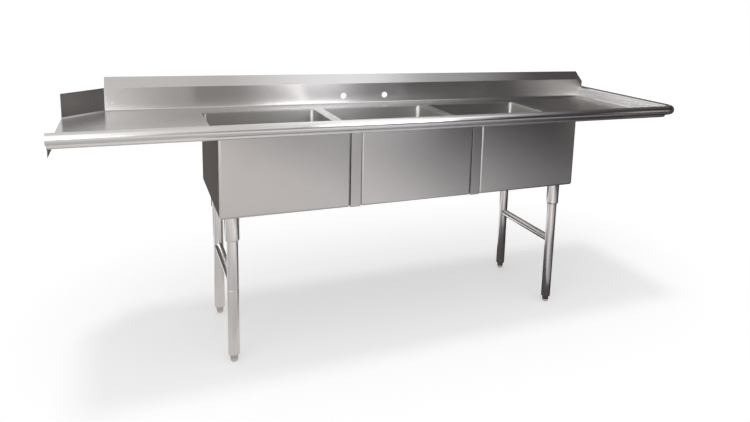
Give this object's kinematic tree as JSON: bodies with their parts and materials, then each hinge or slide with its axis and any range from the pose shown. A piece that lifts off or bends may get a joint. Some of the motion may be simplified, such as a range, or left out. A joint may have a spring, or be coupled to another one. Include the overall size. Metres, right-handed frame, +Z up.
{
  "type": "three compartment sink",
  "caption": "Free-standing stainless steel sink: a row of deep bowls between drainboards, with rolled rim, low backsplash, tubular legs and screw feet.",
  "frame": {"origin": "on the floor, under the middle of the object's box", "axes": "+X along the sink to the right as seen from the front, +Y to the backsplash, +Z up"},
  "size_m": [2.54, 0.7488, 0.9875],
  "materials": {
    "sheet_steel": "brushed",
    "tube_steel": "polished along the tube",
    "drain_steel": "polished",
    "gasket_rubber": "matte"
  },
  "bodies": {
    "sink": {"angled_splash_panel": "sheet_steel", "backsplash": "sheet_steel", "bowl_deck": "sheet_steel", "corner_rim": "sheet_steel", "end_rim": "sheet_steel", "front_rim": "sheet_steel", "left_drainboard": "sheet_steel", "right_drainboard": "sheet_steel", "left_board_channel": "sheet_steel", "right_board_channel": "sheet_steel", "left_bowl": "sheet_steel", "middle_bowl": "sheet_steel", "right_bowl": "sheet_steel", "left_filler_strip": "sheet_steel", "right_filler_strip": "sheet_steel", "front_left_leg_plate": "sheet_steel", "front_right_leg_plate": "sheet_steel", "rear_left_leg_plate": "sheet_steel", "rear_right_leg_plate": "sheet_steel", "front_left_leg_socket": "tube_steel", "front_right_leg_socket": "tube_steel", "rear_left_leg_socket": "tube_steel", "rear_right_leg_socket": "tube_steel", "front_left_set_screw": "tube_steel", "front_right_set_screw": "tube_steel", "rear_left_set_screw": "tube_steel", "rear_right_set_screw": "tube_steel", "front_left_leg": "tube_steel", "front_right_leg": "tube_steel", "rear_left_leg": "tube_steel", "rear_right_leg": "tube_steel", "left_side_rail": "tube_steel", "right_side_rail": "tube_steel", "front_left_foot_insert": "tube_steel", "front_right_foot_insert": "tube_steel", "rear_left_foot_insert": "tube_steel", "rear_right_foot_insert": "tube_steel", "left_drain_body": "drain_steel", "middle_drain_body": "drain_steel", "right_drain_body": "drain_steel", "left_drain_gasket": "gasket_rubber", "middle_drain_gasket": "gasket_rubber", "right_drain_gasket": "gasket_rubber", "left_drain_nut": "drain_steel", "middle_drain_nut": "drain_steel", "right_drain_nut": "drain_steel"},
    "front_left_foot": {"front_left_foot": "tube_steel"},
    "front_right_foot": {"front_right_foot": "tube_steel"},
    "rear_left_foot": {"rear_left_foot": "tube_steel"},
    "rear_right_foot": {"rear_right_foot": "tube_steel"},
    "left_basket": {"left_basket": "drain_steel"},
    "middle_basket": {"middle_basket": "drain_steel"},
    "right_basket": {"right_basket": "drain_steel"}
  },
  "joints": [
    {"name": "front_left_foot_screw", "type": "slide", "parent": "sink", "child": "front_left_foot", "axis": [0, 0, -1], "range_m": [0, 0.025]},
    {"name": "front_right_foot_screw", "type": "slide", "parent": "sink", "child": "front_right_foot", "axis": [0, 0, -1], "range_m": [0, 0.025]},
    {"name": "rear_left_foot_screw", "type": "slide", "parent": "sink", "child": "rear_left_foot", "axis": [0, 0, -1], "range_m": [0, 0.025]},
    {"name": "rear_right_foot_screw", "type": "slide", "parent": "sink", "child": "rear_right_foot", "axis": [0, 0, -1], "range_m": [0, 0.025]},
    {"name": "left_basket_lift", "type": "slide", "parent": "sink", "child": "left_basket", "axis": [0, 0, 1], "range_m": [0, 0.3]},
    {"name": "middle_basket_lift", "type": "slide", "parent": "sink", "child": "middle_basket", "axis": [0, 0, 1], "range_m": [0, 0.3]},
    {"name": "right_basket_lift", "type": "slide", "parent": "sink", "child": "right_basket", "axis": [0, 0, 1], "range_m": [0, 0.3]}
  ]
}
